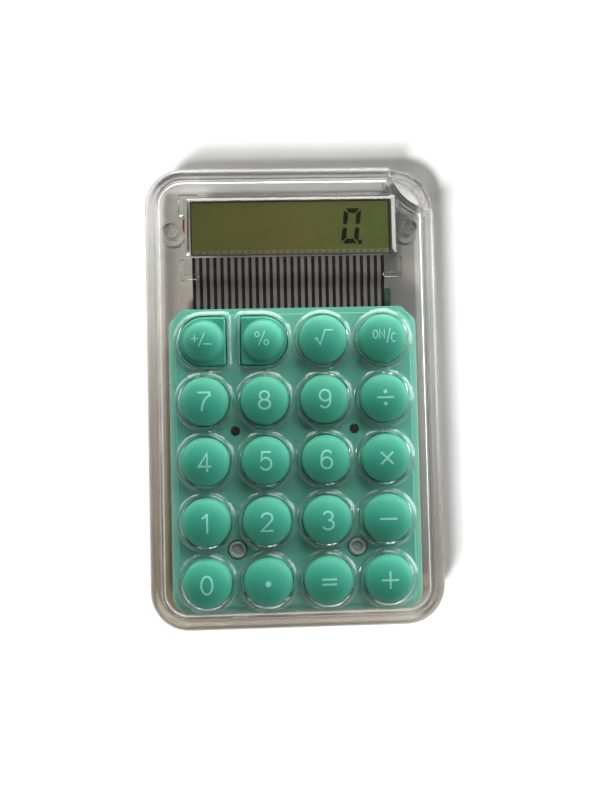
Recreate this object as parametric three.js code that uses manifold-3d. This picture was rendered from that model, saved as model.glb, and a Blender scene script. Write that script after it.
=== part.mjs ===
// Pocket-size desk calculator in a clear case: two clear shells, a silicone key mat with 20 keys, a circuit
// board, a reflective liquid-crystal display on a striped ribbon, and a button cell behind a hinged door.
// Millimetres. The back lies on z = 0, the origin is under the middle of the case, +Y points to the display
// end, +X to the right of the keys, and +Z out of the keys.

import * as THREE from "three";
import { mergeVertices } from "three/addons/utils/BufferGeometryUtils.js";
import Module from "manifold-3d";

const wasm = await Module();
wasm.setup();

// Case
const CASE_WIDTH = 74.3;
const CASE_LENGTH = 117.2;
const CASE_CORNER = 9.8;
const CASE_TOP = 10.4;
const CASE_EDGE = 1.8; // rounding of the outer edges
const PARTING = 6.0; // height where the two shells meet
const TRAY_WALL = 2.1;
const TRAY_FLOOR = 1.6;
const LIP_GAP = 0.3;
const LIP_DEPTH = 1.2; // how far the front shell's lip reaches into the tray
const COVER_WALL = 3.1;
const RIM = 3.6; // width of the raised rim round the front panel
const PANEL_BOTTOM = 8.2;
const PANEL_TOP = 9.7;
const FAR = 80; // longer than the case, for cutting tools
const PAST = 1; // how far a cutting tool runs past the surface it cuts
const ROOT = 0.2; // how far ribs, pins and collars reach into the panel that they join
const GAP = 0.3; // round parts that must stay free

// Lanyard corner, top right: a round notch with a bar that follows the case's corner
const NOTCH = { x: 38.5, y: 59.8, radius: 12.9, wall: 1.4 };
const BAR_WIDTH = 2.0;

// Keypad
const PITCH = 15.2;
const KEYPAD_Y = -16.4;
const KEY_RADIUS = 6.2;
const KEY_BOTTOM = 7.45;
const KEY_SHOULDER = 10.4;
const KEY_TOP = 13.0;
const KEY_FLAT = 5.75; // straight side of a D-shaped key, from its centre
const D_BASE_TOP = 10.2;
const D_DOME_RADIUS = 5.2;
const D_DOME_TOP = 12.7;
const HOLE_RADIUS = 6.5;
const COLLAR_RADIUS = 7.5;
const COLLAR_TOP = 11.0;
const COLLAR_EDGE = 0.4;
const PILL_RADIUS = 2.0;
const PILL_BOTTOM = 7.5;
const PILL_TOP = 8.2;
const PILL_POCKET = 2.3;

// Each row from the display down, each column from the left
const KEY_NAMES = [
  ["sign", "percent", "root", "on_clear"],
  ["7", "8", "9", "divide"],
  ["4", "5", "6", "multiply"],
  ["1", "2", "3", "minus"],
  ["0", "point", "equals", "plus"],
];
const STRAIGHT_SIDE = { sign: 1, percent: -1 }; // +1: the straight side is to the right

// Key mat and circuit board
const BOARD_BOTTOM = 5.4;
const BOARD_TOP = 6.4;
const MAT_TOP = 7.8;
const MAT_HALF_WIDTH = 31.75;
const MAT_FRONT = -54.7;
const MAT_REAR = 22.6;
const MAT_CHAMFER = 3.6;
const MAT_CORNER = 4.5;
const MAT_EDGE = 0.3;
const BOARD_INSET = 1.0;
const TONGUE_REAR = 27.4; // the board's tongue under the ribbon
const TONGUE_MARGIN = 0.4; // the tongue is this much wider than the ribbon on each side

// Pegs and screw bosses between the keys. A way is the radius of the hole in the mat and the board, and a
// seat is the tray's own post under them.
const POST_X = PITCH;
const PEG_Y = KEYPAD_Y + PITCH / 2;
const BOSS_Y = KEYPAD_Y - 1.5 * PITCH + 0.4;
const PEG = { radius: 0.85, bore: 1.2, boreBottom: 4.0, way: 1.25, seat: 2.4 };
const BOSS = { radius: 2.2, bottom: 3.2, bore: 1.15, way: 2.5, seat: 3.0, seatTop: 2.9 };
const HEAD_RECESS = { radius: 2.1, top: 1.5 }; // for the heads of the case screws
const STUD = { x: 28, rear: 18, front: -50, radius: 1.6 }; // under the board's corners
const POST_FOOT = 1.0; // posts start at this height, inside the tray's floor
// Pins beside the display, each in a round socket of the tray
const SIDE_PIN = { x: 30.6, y: 42.9, radius: 1.45, bottom: 2.6 };
const SOCKET = { radius: 1.85, floor: 2.3, ring: 3.3, top: 4.6 };

// Display
const GLASS_HALF_WIDTH = 27.1;
const GLASS_REAR = 50.7;
const LEDGE_FRONT = 31.6;
const FRONT_GLASS_FRONT = 36.2;
const GLASS = 0.7;
const FILM = 0.2;
const WINDOW = { halfWidth: 27, front: 36.0, rear: 51.0, top: 10.6, bevel: 1.0 };
const VIEW = { halfWidth: 25.6, front: 36.6, rear: 50.1 };
const RIB = { width: 1.3, arm: 5.4, foot: 5.0, gap: 0.2, bottom: 6.2, overRibbon: 7.8 };
const SEAL = { front: 42.1, rear: 46.3, bulge: 0.55, inset: 0.25 };

// Ribbon
const RIBBON = { left: -25.4, right: 24.0, thickness: 0.25, front: 20.8 };
const RIBBON_BEND = { length: 1.1, drop: 0.15, fromLedge: 0.4, fromTongue: 0.1 };

// Button cell and its door
const CELL = { y: -26.0, radius: 5.8, bottom: 1.4, top: 4.45, edge: 0.3 };
const CELL_CAP = { radius: 4.9, height: 0.3, shoulder: 0.5 }; // the cell's smaller end, on top
const BLOCK = { halfWidth: 12.2, front: -36.0, rear: -12.6, top: 4.95, corner: 1.5 };
const DOOR = { halfWidth: 9.2, front: -32.7, rear: -15.3, bottom: 0.2, top: 1.2, corner: 0.8 };
const HINGE_GAP = 0.6;
const DOOR_RECESS = 1.5;
const TAB = { x: 5.4, width: 2.6, reach: 0.9, root: 1.0, top: 1.9 };
const TAB_SLOT = { front: 0.7, rear: 2.0, bottom: 1.0, top: 2.7 };
const DOOR_BOSS = { y: -17.6, radius: 2.4, top: 2.3 };
const BOSS_SOCKET = { radius: 2.75, bottom: 1.0, top: 2.6 }; // in the tray, over the door's boss
const DOOR_SCREW_WAY = 1.35;
const SHEET = 0.3; // thickness of the cell's contacts
const CONTACT_GAP = 0.05;
const CONTACT_HALF_WIDTH = 1.5;
const BLADE = { bottom: 2.0, flange: 5.5 };
const BLADE_SLOT = { inside: 0.8, outside: 1.5, halfWidth: 1.9 };
const LEAF = { end: -33.6, bend: -30.6, touchFront: -27.0, touchRear: -25.0, tip: -24.0, tipRise: 0.3 };

// Screws, heads downwards
const SCREW = { head: 1.6, headHeight: 0.9, edge: 0.3, shank: 0.8, point: 0.7 };
const CROSS = { arm: 1.0, halfWidth: 0.2, depth: 0.5 };
const CASE_SCREW = { bottom: 0.4, tip: 7.4 };
const DOOR_SCREW = { bottom: 0.35, tip: 4.3, headWay: 1.9, headTop: 1.4, shankWay: 1.1 };

// ---- geometry helpers ----

// A closed solid from a three.js geometry.
function solid(geometry) {
  const bare = geometry.clone();
  bare.deleteAttribute("normal");
  bare.deleteAttribute("uv");
  const merged = mergeVertices(bare, 1e-4);
  const index = [...merged.index.array];
  const triVerts = [];
  for (let i = 0; i < index.length; i += 3) {
    const [a, b, c] = index.slice(i, i + 3);
    if (a !== b && b !== c && c !== a) triVerts.push(a, b, c);
  }
  const mesh = new wasm.Mesh({
    numProp: 3,
    vertProperties: merged.attributes.position.array,
    triVerts: new Uint32Array(triVerts),
  });
  return new wasm.Manifold(mesh);
}

// A solid's surface as a three.js geometry.
function surface(body) {
  const mesh = body.getMesh();
  const geometry = new THREE.BufferGeometry();
  geometry.setAttribute("position", new THREE.BufferAttribute(mesh.vertProperties, 3));
  geometry.setIndex(new THREE.BufferAttribute(mesh.triVerts, 1));
  return geometry;
}

// A rounded rectangle between two x and two y values. The radii go round from the front left corner.
function roundedRect(x0, y0, x1, y1, radius) {
  const shape = new THREE.Shape();
  shape.absarc(x0 + radius, y0 + radius, radius, Math.PI, 1.5 * Math.PI);
  shape.absarc(x1 - radius, y0 + radius, radius, 1.5 * Math.PI, 2 * Math.PI);
  shape.absarc(x1 - radius, y1 - radius, radius, 0, 0.5 * Math.PI);
  shape.absarc(x0 + radius, y1 - radius, radius, 0.5 * Math.PI, Math.PI);
  return shape;
}

// The case's outline, moved inwards by inset.
function caseOutline(inset) {
  const x = CASE_WIDTH / 2 - inset;
  const y = CASE_LENGTH / 2 - inset;
  return roundedRect(-x, -y, x, y, CASE_CORNER - inset);
}

function polygon(...corners) {
  return new THREE.Shape(corners.map(([x, y]) => new THREE.Vector2(x, y)));
}

function circle(x, y, radius) {
  return new THREE.Shape().absarc(x, y, radius, 0, 2 * Math.PI);
}

// A shape standing from z0 to z1. An arc of a quarter turn gets 2 * divisions segments.
function slab(shape, z0, z1, divisions = 3) {
  const options = { depth: z1 - z0, bevelEnabled: false, curveSegments: divisions };
  return solid(new THREE.ExtrudeGeometry(shape, options).translate(0, 0, z0));
}

// A slab whose top and bottom edges are rounded or chamfered inwards.
function pillow(shape, z0, z1, height, width, steps = 1, divisions = 3) {
  const options = {
    depth: z1 - z0 - 2 * height,
    bevelThickness: height,
    bevelSize: width,
    bevelOffset: -width,
    bevelSegments: steps,
    curveSegments: divisions,
  };
  return solid(new THREE.ExtrudeGeometry(shape, options).translate(0, 0, z0 + height));
}

function rod(x, y, radius, z0, z1, sides = 12) {
  const geometry = new THREE.CylinderGeometry(radius, radius, z1 - z0, sides);
  return solid(geometry.rotateX(Math.PI / 2).translate(x, y, (z0 + z1) / 2));
}

function box(x0, y0, z0, x1, y1, z1) {
  const geometry = new THREE.BoxGeometry(x1 - x0, y1 - y0, z1 - z0);
  return solid(geometry.translate((x0 + x1) / 2, (y0 + y1) / 2, (z0 + z1) / 2));
}

// A profile of [radius, height] points turned about a vertical axis at x, y.
function turned(profile, x, y, sides) {
  const points = profile.map(([radius, z]) => new THREE.Vector2(radius, z));
  return solid(new THREE.LatheGeometry(points, sides).rotateX(Math.PI / 2).translate(x, y, 0));
}

// A strip of one thickness whose middle line is a path of [u, z] points, across a width.
// along is "y" for a path in the YZ plane, and "x" for one in the XZ plane.
function strip(path, thickness, from, to, along) {
  const half = thickness / 2;
  const offset = (side) =>
    path.map(([u, z], i) => {
      const [u0, z0] = path[Math.max(i - 1, 0)];
      const [u1, z1] = path[Math.min(i + 1, path.length - 1)];
      const scale = (side * half) / Math.hypot(u1 - u0, z1 - z0);
      return new THREE.Vector2(u - scale * (z1 - z0), z + scale * (u1 - u0));
    });
  const shape = new THREE.Shape([...offset(-1), ...offset(1).reverse()]);
  const geometry = new THREE.ExtrudeGeometry(shape, { depth: to - from, bevelEnabled: false });
  geometry.translate(0, 0, from).rotateX(Math.PI / 2).rotateZ(along === "y" ? Math.PI / 2 : 0);
  return solid(along === "x" ? geometry.translate(0, to + from, 0) : geometry);
}

const sum = (...bodies) => bodies.reduce((a, b) => a.add(b));
const ordered = (a, b) => [Math.min(a, b), Math.max(a, b)];

// ---- keys ----

const keys = KEY_NAMES.flatMap((row, r) =>
  row.map((name, c) => ({
    name,
    x: (c - 1.5) * PITCH,
    y: KEYPAD_Y + (2 - r) * PITCH,
    side: STRAIGHT_SIDE[name] ?? 0,
  })),
);

const KEY_DIVISIONS = 8; // a full circle gets twice as many sides
const D_DIVISIONS = 4;

// A key's outline at a radius: a circle, or a half circle with one straight side.
function keyOutline({ x, y, side }, radius) {
  if (side === 0) return circle(x, y, radius);
  const flat = KEY_FLAT + radius - KEY_RADIUS;
  const shape = new THREE.Shape();
  const turn = side > 0 ? 0.5 * Math.PI : -0.5 * Math.PI;
  shape.absarc(x, y, radius, turn, turn + Math.PI);
  shape.lineTo(x + side * flat, y - side * radius);
  shape.lineTo(x + side * flat, y + side * radius);
  return shape;
}

function keySlab(key, radius, z0, z1) {
  return slab(keyOutline(key, radius), z0, z1, key.side ? D_DIVISIONS : KEY_DIVISIONS);
}

const DOME_STEPS = [0, 0.35, 0.7]; // parts of the quarter turn from the shoulder to the top

// A half-ellipsoid dome on a straight skirt.
function dome(x, y, radius, bottom, shoulder, top) {
  const profile = [[0, bottom], [radius, bottom]];
  for (const part of DOME_STEPS) {
    const angle = part * (Math.PI / 2);
    profile.push([radius * Math.cos(angle), shoulder + (top - shoulder) * Math.sin(angle)]);
  }
  profile.push([0, top]);
  return turned(profile, x, y, 2 * KEY_DIVISIONS);
}

function keyCap(key) {
  const pocket = rod(key.x, key.y, PILL_POCKET, KEY_BOTTOM - PAST, PILL_TOP);
  if (key.side === 0) {
    return dome(key.x, key.y, KEY_RADIUS, KEY_BOTTOM, KEY_SHOULDER, KEY_TOP).subtract(pocket);
  }
  const base = keySlab(key, KEY_RADIUS, KEY_BOTTOM, D_BASE_TOP);
  const crown = dome(key.x, key.y, D_DOME_RADIUS, KEY_BOTTOM + PAST, D_BASE_TOP, D_DOME_TOP);
  return base.add(crown).subtract(pocket);
}

const contactPill = (key) => rod(key.x, key.y, PILL_RADIUS, PILL_BOTTOM, PILL_TOP);

// A raised ring round a key, joined to the front panel.
function collar(key) {
  const divisions = key.side ? D_DIVISIONS : KEY_DIVISIONS;
  const outline = keyOutline(key, COLLAR_RADIUS);
  return pillow(outline, PANEL_BOTTOM + ROOT, COLLAR_TOP, COLLAR_EDGE, COLLAR_EDGE, 1, divisions);
}

// ---- case ----

const mirrored = (make) => sum(make(-1), make(1));
const cornerX = CASE_WIDTH / 2 - CASE_CORNER;
const cornerY = CASE_LENGTH / 2 - CASE_CORNER;
const CASE_DIVISIONS = 4;
const pebble = () => pillow(caseOutline(0), 0, CASE_TOP, CASE_EDGE, CASE_EDGE, 3, CASE_DIVISIONS);
const notchRod = (extra) => rod(NOTCH.x, NOTCH.y, NOTCH.radius + extra, -PAST, CASE_TOP + PAST, 40);

// A hollow that follows the case's outline and leaves a wall round the lanyard notch.
function hollow(inset, z0, z1) {
  return slab(caseOutline(inset), z0, z1, CASE_DIVISIONS).subtract(notchRod(NOTCH.wall));
}

// Four L-shaped ribs under the front panel, which hold the display's glass at its corners.
function displayRibs() {
  const x = GLASS_HALF_WIDTH + RIB.gap;
  const front = LEDGE_FRONT - RIB.gap;
  const rear = GLASS_REAR + RIB.gap;
  const z1 = PANEL_BOTTOM + ROOT;
  const rib = (sx, y, sy) => {
    const [x0, x1] = ordered(sx * (x + RIB.width - RIB.foot), sx * (x + RIB.width));
    const [y0, y1] = ordered(y, y + sy * RIB.width);
    const across = box(x0, y0, sy < 0 ? RIB.overRibbon : RIB.bottom, x1, y1, z1);
    const [u0, u1] = ordered(sx * x, sx * (x + RIB.width));
    const [v0, v1] = ordered(y + sy * RIB.width, y - sy * (RIB.arm - RIB.width));
    return across.add(box(u0, v0, RIB.bottom, u1, v1, z1));
  };
  return sum(rib(-1, front, -1), rib(1, front, -1), rib(-1, rear, 1), rib(1, rear, 1));
}

function topShell() {
  const outer = pebble().intersect(box(-FAR, -FAR, PARTING, FAR, FAR, CASE_TOP + PAST));
  const lipOuter = hollow(TRAY_WALL + LIP_GAP, PARTING - LIP_DEPTH, PARTING + PAST);
  const cavity = hollow(COVER_WALL, PARTING - LIP_DEPTH - PAST, PANEL_BOTTOM);
  const recess = hollow(RIM, PANEL_TOP, CASE_TOP + PAST);
  const { halfWidth, front, rear, top, bevel } = WINDOW;
  const rearCorners = [[halfWidth, rear], [-halfWidth, rear]];
  const windowOutline = polygon([-halfWidth, front], [halfWidth, front], ...rearCorners);
  const root = PANEL_BOTTOM + ROOT;
  const window = pillow(windowOutline, root, top, top - PANEL_TOP, bevel, 1, 1);
  const pegs = mirrored((s) => rod(s * POST_X, PEG_Y, PEG.radius, BOARD_BOTTOM, root, 10));
  const bosses = mirrored((s) => rod(s * POST_X, BOSS_Y, BOSS.radius, BOSS.bottom, root, 16));
  const bores = mirrored((s) => rod(s * POST_X, BOSS_Y, BOSS.bore, BOSS.bottom - PAST, PANEL_BOTTOM));
  const pins = mirrored((s) => rod(s * SIDE_PIN.x, SIDE_PIN.y, SIDE_PIN.radius, SIDE_PIN.bottom, root));
  const holes = keys.map((key) => keySlab(key, HOLE_RADIUS, PANEL_BOTTOM - PAST, COLLAR_TOP + PAST));
  return sum(outer, lipOuter)
    .subtract(cavity)
    .subtract(recess)
    .add(sum(window, displayRibs(), pegs, bosses, pins, ...keys.map(collar)))
    .subtract(sum(bores, ...holes))
    .subtract(notchRod(0));
}

// The block that the button cell sits in, with the door's recess under it.
function cellBlock() {
  const { halfWidth, front, rear, top, corner } = BLOCK;
  return slab(roundedRect(-halfWidth, front, halfWidth, rear, corner), 0, top, 2);
}

// The recess for the door, the well for the cell, and the slots for the tabs, the screw and the blade.
function cellCuts() {
  const doorX = DOOR.halfWidth + GAP;
  const recess = box(-doorX, DOOR.front - HINGE_GAP, -PAST, doorX, DOOR.rear + GAP, DOOR_RECESS);
  const top = BLOCK.top + PAST;
  const well = rod(0, CELL.y, CELL.radius + GAP, DOOR_RECESS - PAST, top, 32);
  const slotFront = DOOR.front - TAB.reach - TAB_SLOT.front;
  const tabs = mirrored((s) => {
    const [x0, x1] = ordered(s * (TAB.x - GAP), s * (TAB.x + TAB.width + GAP));
    return box(x0, slotFront, TAB_SLOT.bottom, x1, DOOR.front + TAB_SLOT.rear, TAB_SLOT.top);
  });
  const screwBoss = rod(0, DOOR_BOSS.y, BOSS_SOCKET.radius, BOSS_SOCKET.bottom, BOSS_SOCKET.top, 20);
  const screwWay = rod(0, DOOR_BOSS.y, DOOR_SCREW_WAY, BOSS_SOCKET.bottom, top);
  const { inside, outside, halfWidth } = BLADE_SLOT;
  const [slot0, slot1] = [CELL.y - halfWidth, CELL.y + halfWidth];
  const slot = box(CELL.radius - inside, slot0, DOOR_RECESS - PAST, CELL.radius + outside, slot1, top);
  return sum(recess, well, tabs, screwBoss, screwWay, slot);
}

function bottomShell() {
  const outer = pebble().intersect(box(-FAR, -FAR, -PAST, FAR, FAR, PARTING));
  const posts = mirrored((s) =>
    sum(
      rod(s * POST_X, PEG_Y, PEG.seat, POST_FOOT, BOARD_BOTTOM),
      rod(s * POST_X, BOSS_Y, BOSS.seat, 0, BOSS.seatTop, 16),
      rod(s * SIDE_PIN.x, SIDE_PIN.y, SOCKET.ring, POST_FOOT, SOCKET.top, 16),
      rod(s * STUD.x, STUD.rear, STUD.radius, POST_FOOT, BOARD_BOTTOM, 10),
      rod(s * STUD.x, STUD.front, STUD.radius, POST_FOOT, BOARD_BOTTOM, 10),
    ),
  );
  const bores = mirrored((s) =>
    sum(
      rod(s * POST_X, PEG_Y, PEG.bore, PEG.boreBottom, BOARD_BOTTOM + PAST),
      rod(s * POST_X, BOSS_Y, HEAD_RECESS.radius, -PAST, HEAD_RECESS.top, 16),
      rod(s * POST_X, BOSS_Y, BOSS.bore, -PAST, BOSS.seatTop + PAST),
      rod(s * SIDE_PIN.x, SIDE_PIN.y, SOCKET.radius, SOCKET.floor, SOCKET.top + PAST, 16),
    ),
  );
  const loop = rod(cornerX, cornerY, CASE_CORNER - BAR_WIDTH, -PAST, CASE_TOP, 48);
  return outer
    .subtract(hollow(TRAY_WALL, TRAY_FLOOR, PARTING + PAST))
    .add(sum(posts, cellBlock()))
    .subtract(sum(bores, cellCuts(), loop.intersect(notchRod(0))));
}

// ---- keypad parts ----

// The mat's outline: chamfered corners towards the display, round ones at the front.
function matOutline(inset) {
  const x = MAT_HALF_WIDTH - inset;
  const front = MAT_FRONT + inset;
  const rear = MAT_REAR - inset;
  const shape = new THREE.Shape();
  shape.absarc(-x + MAT_CORNER, front + MAT_CORNER, MAT_CORNER, Math.PI, 1.5 * Math.PI);
  shape.absarc(x - MAT_CORNER, front + MAT_CORNER, MAT_CORNER, 1.5 * Math.PI, 2 * Math.PI);
  shape.lineTo(x, rear - MAT_CHAMFER);
  shape.lineTo(x - MAT_CHAMFER, rear);
  shape.lineTo(-x + MAT_CHAMFER, rear);
  shape.lineTo(-x, rear - MAT_CHAMFER);
  return shape;
}

// The holes for the pegs and the bosses, through the mat and the board.
function postWays() {
  const [z0, z1] = [BOARD_BOTTOM - PAST, MAT_TOP + PAST];
  return mirrored((s) =>
    sum(rod(s * POST_X, PEG_Y, PEG.way, z0, z1), rod(s * POST_X, BOSS_Y, BOSS.way, z0, z1, 16)),
  );
}

function keypadMat() {
  const sheet = pillow(matOutline(0), BOARD_TOP, MAT_TOP, MAT_EDGE, MAT_EDGE, 1, 2);
  const holes = keys.map((key) => keySlab(key, HOLE_RADIUS, BOARD_TOP - PAST, MAT_TOP + PAST));
  const { left, right, front, thickness } = RIBBON;
  const reliefTop = BOARD_TOP + thickness + GAP;
  const relief = box(left - GAP, front - GAP, BOARD_TOP - PAST, right + GAP, MAT_REAR + PAST, reliefTop);
  return sheet.subtract(sum(postWays(), relief, ...holes));
}

function circuitBoard() {
  const plate = slab(matOutline(BOARD_INSET), BOARD_BOTTOM, BOARD_TOP, 2);
  const tongueX = Math.max(-RIBBON.left, RIBBON.right) + TONGUE_MARGIN;
  const tongue = box(-tongueX, MAT_REAR - BOARD_INSET - PAST, BOARD_BOTTOM, tongueX, TONGUE_REAR, BOARD_TOP);
  return plate.add(tongue).subtract(postWays());
}

const CHIP = { x: -18, y: 6, radius: 5.0, height: 1.5 };
const CAPACITOR = { x: 8, y: 8, halfLength: 1.6, halfWidth: 0.8, height: 1.1 };

// A drop of resin under the board, over the bonded chip.
function chipCover() {
  const { x, y, radius, height } = CHIP;
  const low = BOARD_BOTTOM - height;
  const profile = [[0, low], [radius * 0.55, low + 0.2], [radius * 0.9, low + 0.8], [radius, BOARD_BOTTOM]];
  return turned([...profile, [0, BOARD_BOTTOM]], x, y, 16);
}

function supplyCapacitor() {
  const { x, y, halfLength, halfWidth, height } = CAPACITOR;
  const z0 = BOARD_BOTTOM - height;
  return box(x - halfLength, y - halfWidth, z0, x + halfLength, y + halfWidth, BOARD_BOTTOM);
}

// ---- display ----

const polariserTop = PANEL_BOTTOM;
const frontGlassTop = polariserTop - FILM;
const rearGlassTop = frontGlassTop - GLASS;
const reflectorTop = rearGlassTop - GLASS;

function film(top) {
  const { halfWidth, front, rear } = VIEW;
  return box(-halfWidth, front, top - FILM, halfWidth, rear, top);
}

const frontGlass = () =>
  box(-GLASS_HALF_WIDTH, FRONT_GLASS_FRONT, rearGlassTop, GLASS_HALF_WIDTH, GLASS_REAR, frontGlassTop);

const rearGlass = () =>
  box(-GLASS_HALF_WIDTH, LEDGE_FRONT, reflectorTop, GLASS_HALF_WIDTH, GLASS_REAR, rearGlassTop);

// The plug of the glass's filling hole: a flat drop on its left edge.
function endSeal() {
  const shape = new THREE.Shape();
  const middle = (SEAL.front + SEAL.rear) / 2;
  const half = (SEAL.rear - SEAL.front) / 2;
  shape.absellipse(-GLASS_HALF_WIDTH, middle, SEAL.bulge, half, 0.5 * Math.PI, 1.5 * Math.PI);
  return slab(shape, reflectorTop + SEAL.inset, frontGlassTop - SEAL.inset, 4);
}

// From the glass's ledge down to the board's tongue and in under the mat.
function displayRibbon() {
  const half = RIBBON.thickness / 2;
  const high = rearGlassTop + half;
  const low = BOARD_TOP + half;
  const { length, drop, fromLedge, fromTongue } = RIBBON_BEND;
  const bendTop = LEDGE_FRONT - fromLedge;
  const bendFoot = TONGUE_REAR - fromTongue;
  const path = [
    [FRONT_GLASS_FRONT - GAP, high],
    [bendTop, high],
    [bendTop - length, high - drop],
    [bendFoot + length, low + drop],
    [bendFoot, low],
    [RIBBON.front, low],
  ];
  return strip(path, RIBBON.thickness, RIBBON.left, RIBBON.right, "y");
}

// ---- power ----

// The cell stands on its flat case, with its smaller cap on top.
function buttonCell() {
  const { radius, bottom, top, edge } = CELL;
  const profile = [
    [0, bottom],
    [radius - edge, bottom],
    [radius, bottom + edge],
    [radius, top - CELL_CAP.shoulder],
    [CELL_CAP.radius, top - CELL_CAP.height],
    [CELL_CAP.radius, top],
    [0, top],
  ];
  return turned(profile, 0, CELL.y, 28);
}

const contactRest = BLOCK.top + CONTACT_GAP + SHEET / 2;

// A blade beside the cell with a flange over the block.
function positiveContact() {
  const x = CELL.radius + GAP;
  const path = [
    [x, BLADE.bottom],
    [x, contactRest],
    [x + BLADE.flange, contactRest],
  ];
  return strip(path, SHEET, CELL.y - CONTACT_HALF_WIDTH, CELL.y + CONTACT_HALF_WIDTH, "x");
}

// A leaf spring that lies on the block and dips to the cell's end cap.
function negativeContact() {
  const touch = CELL.top + CONTACT_GAP + SHEET / 2;
  const path = [
    [LEAF.end, contactRest],
    [LEAF.bend, contactRest],
    [LEAF.touchFront, touch],
    [LEAF.touchRear, touch],
    [LEAF.tip, touch + LEAF.tipRise],
  ];
  return strip(path, SHEET, -CONTACT_HALF_WIDTH, CONTACT_HALF_WIDTH, "y");
}

function batteryDoor() {
  const { halfWidth, front, rear, bottom, top, corner } = DOOR;
  const plate = slab(roundedRect(-halfWidth, front, halfWidth, rear, corner), bottom, top, 2);
  const tabs = mirrored((s) => {
    const [x0, x1] = ordered(s * TAB.x, s * (TAB.x + TAB.width));
    const hook = box(x0, front - TAB.reach, top, x1, front + TAB.root, TAB.top);
    return hook.add(box(x0, front, bottom + ROOT, x1, front + TAB.root, TAB.top));
  });
  const boss = rod(0, DOOR_BOSS.y, DOOR_BOSS.radius, bottom, DOOR_BOSS.top, 20);
  const head = rod(0, DOOR_BOSS.y, DOOR_SCREW.headWay, -PAST, DOOR_SCREW.headTop, 16);
  const way = rod(0, DOOR_BOSS.y, DOOR_SCREW.shankWay, -PAST, DOOR_BOSS.top + PAST);
  return sum(plate, tabs, boss).subtract(head.add(way));
}

// A pan-head screw with a cross recess, its head downwards.
function screw(x, y, bottom, tip) {
  const { head, headHeight, edge, shank, point } = SCREW;
  const profile = [
    [0, bottom],
    [head - edge, bottom],
    [head, bottom + edge],
    [head, bottom + headHeight],
    [shank, bottom + headHeight],
    [shank, tip - point],
    [0, tip],
  ];
  const { arm, halfWidth, depth } = CROSS;
  const cross = sum(
    box(x - arm, y - halfWidth, bottom - PAST, x + arm, y + halfWidth, bottom + depth),
    box(x - halfWidth, y - arm, bottom - PAST, x + halfWidth, y + arm, bottom + depth),
  );
  return turned(profile, x, y, 12).subtract(cross);
}

// ---- assembly ----

const CLEAR = { color: 0xdfe4e3, roughness: 0.12, metalness: 0 };
const MINT = { color: 0x45b59a, roughness: 0.6, metalness: 0 };
const MAT_MINT = { color: 0x6fb8a2, roughness: 0.7, metalness: 0 };
const GLASS_LOOK = { color: 0xc9cfc4, roughness: 0.05, metalness: 0 };
const FILM_LOOK = { color: 0x60613a, roughness: 0.4, metalness: 0 };
const REFLECTOR_LOOK = { color: 0x8c8c6a, roughness: 0.5, metalness: 0.2 };
const SEAL_LOOK = { color: 0x7a1f2c, roughness: 0.4, metalness: 0 };
const RIBBON_LOOK = { color: 0x3a3835, roughness: 0.5, metalness: 0 };
const BOARD_LOOK = { color: 0x2c3a30, roughness: 0.6, metalness: 0 };
const BLACK = { color: 0x151515, roughness: 0.6, metalness: 0 };
const CERAMIC = { color: 0xa9835a, roughness: 0.5, metalness: 0 };
const STEEL = { color: 0xb9bcc0, roughness: 0.3, metalness: 1 };

const calculator = new THREE.Group();

function place(name, body, look) {
  const mesh = new THREE.Mesh(surface(body), new THREE.MeshStandardMaterial(look));
  mesh.name = name;
  calculator.add(mesh);
}

place("bottom_shell", bottomShell(), CLEAR);
place("top_shell", topShell(), CLEAR);
place("keypad_mat", keypadMat(), MAT_MINT);
for (const key of keys) {
  place(`key_${key.name}`, keyCap(key), MINT);
  place(`pill_${key.name}`, contactPill(key), BLACK);
}
place("circuit_board", circuitBoard(), BOARD_LOOK);
place("chip_cover", chipCover(), BLACK);
place("supply_capacitor", supplyCapacitor(), CERAMIC);
place("lcd_front_polariser", film(polariserTop), FILM_LOOK);
place("lcd_front_glass", frontGlass(), GLASS_LOOK);
place("lcd_rear_glass", rearGlass(), GLASS_LOOK);
place("lcd_reflector", film(reflectorTop), REFLECTOR_LOOK);
place("lcd_end_seal", endSeal(), SEAL_LOOK);
place("display_ribbon", displayRibbon(), RIBBON_LOOK);
place("button_cell", buttonCell(), STEEL);
place("cell_contact_positive", positiveContact(), STEEL);
place("cell_contact_negative", negativeContact(), STEEL);
place("battery_door", batteryDoor(), CLEAR);
place("battery_door_screw", screw(0, DOOR_BOSS.y, DOOR_SCREW.bottom, DOOR_SCREW.tip), STEEL);
place("case_screw_left", screw(-POST_X, BOSS_Y, CASE_SCREW.bottom, CASE_SCREW.tip), STEEL);
place("case_screw_right", screw(POST_X, BOSS_Y, CASE_SCREW.bottom, CASE_SCREW.tip), STEEL);

export default calculator;
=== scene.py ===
from math import atan2, cos, dist, hypot, pi, radians, sin, tan

import bmesh
import bpy
from mathutils import Matrix, Vector


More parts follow.
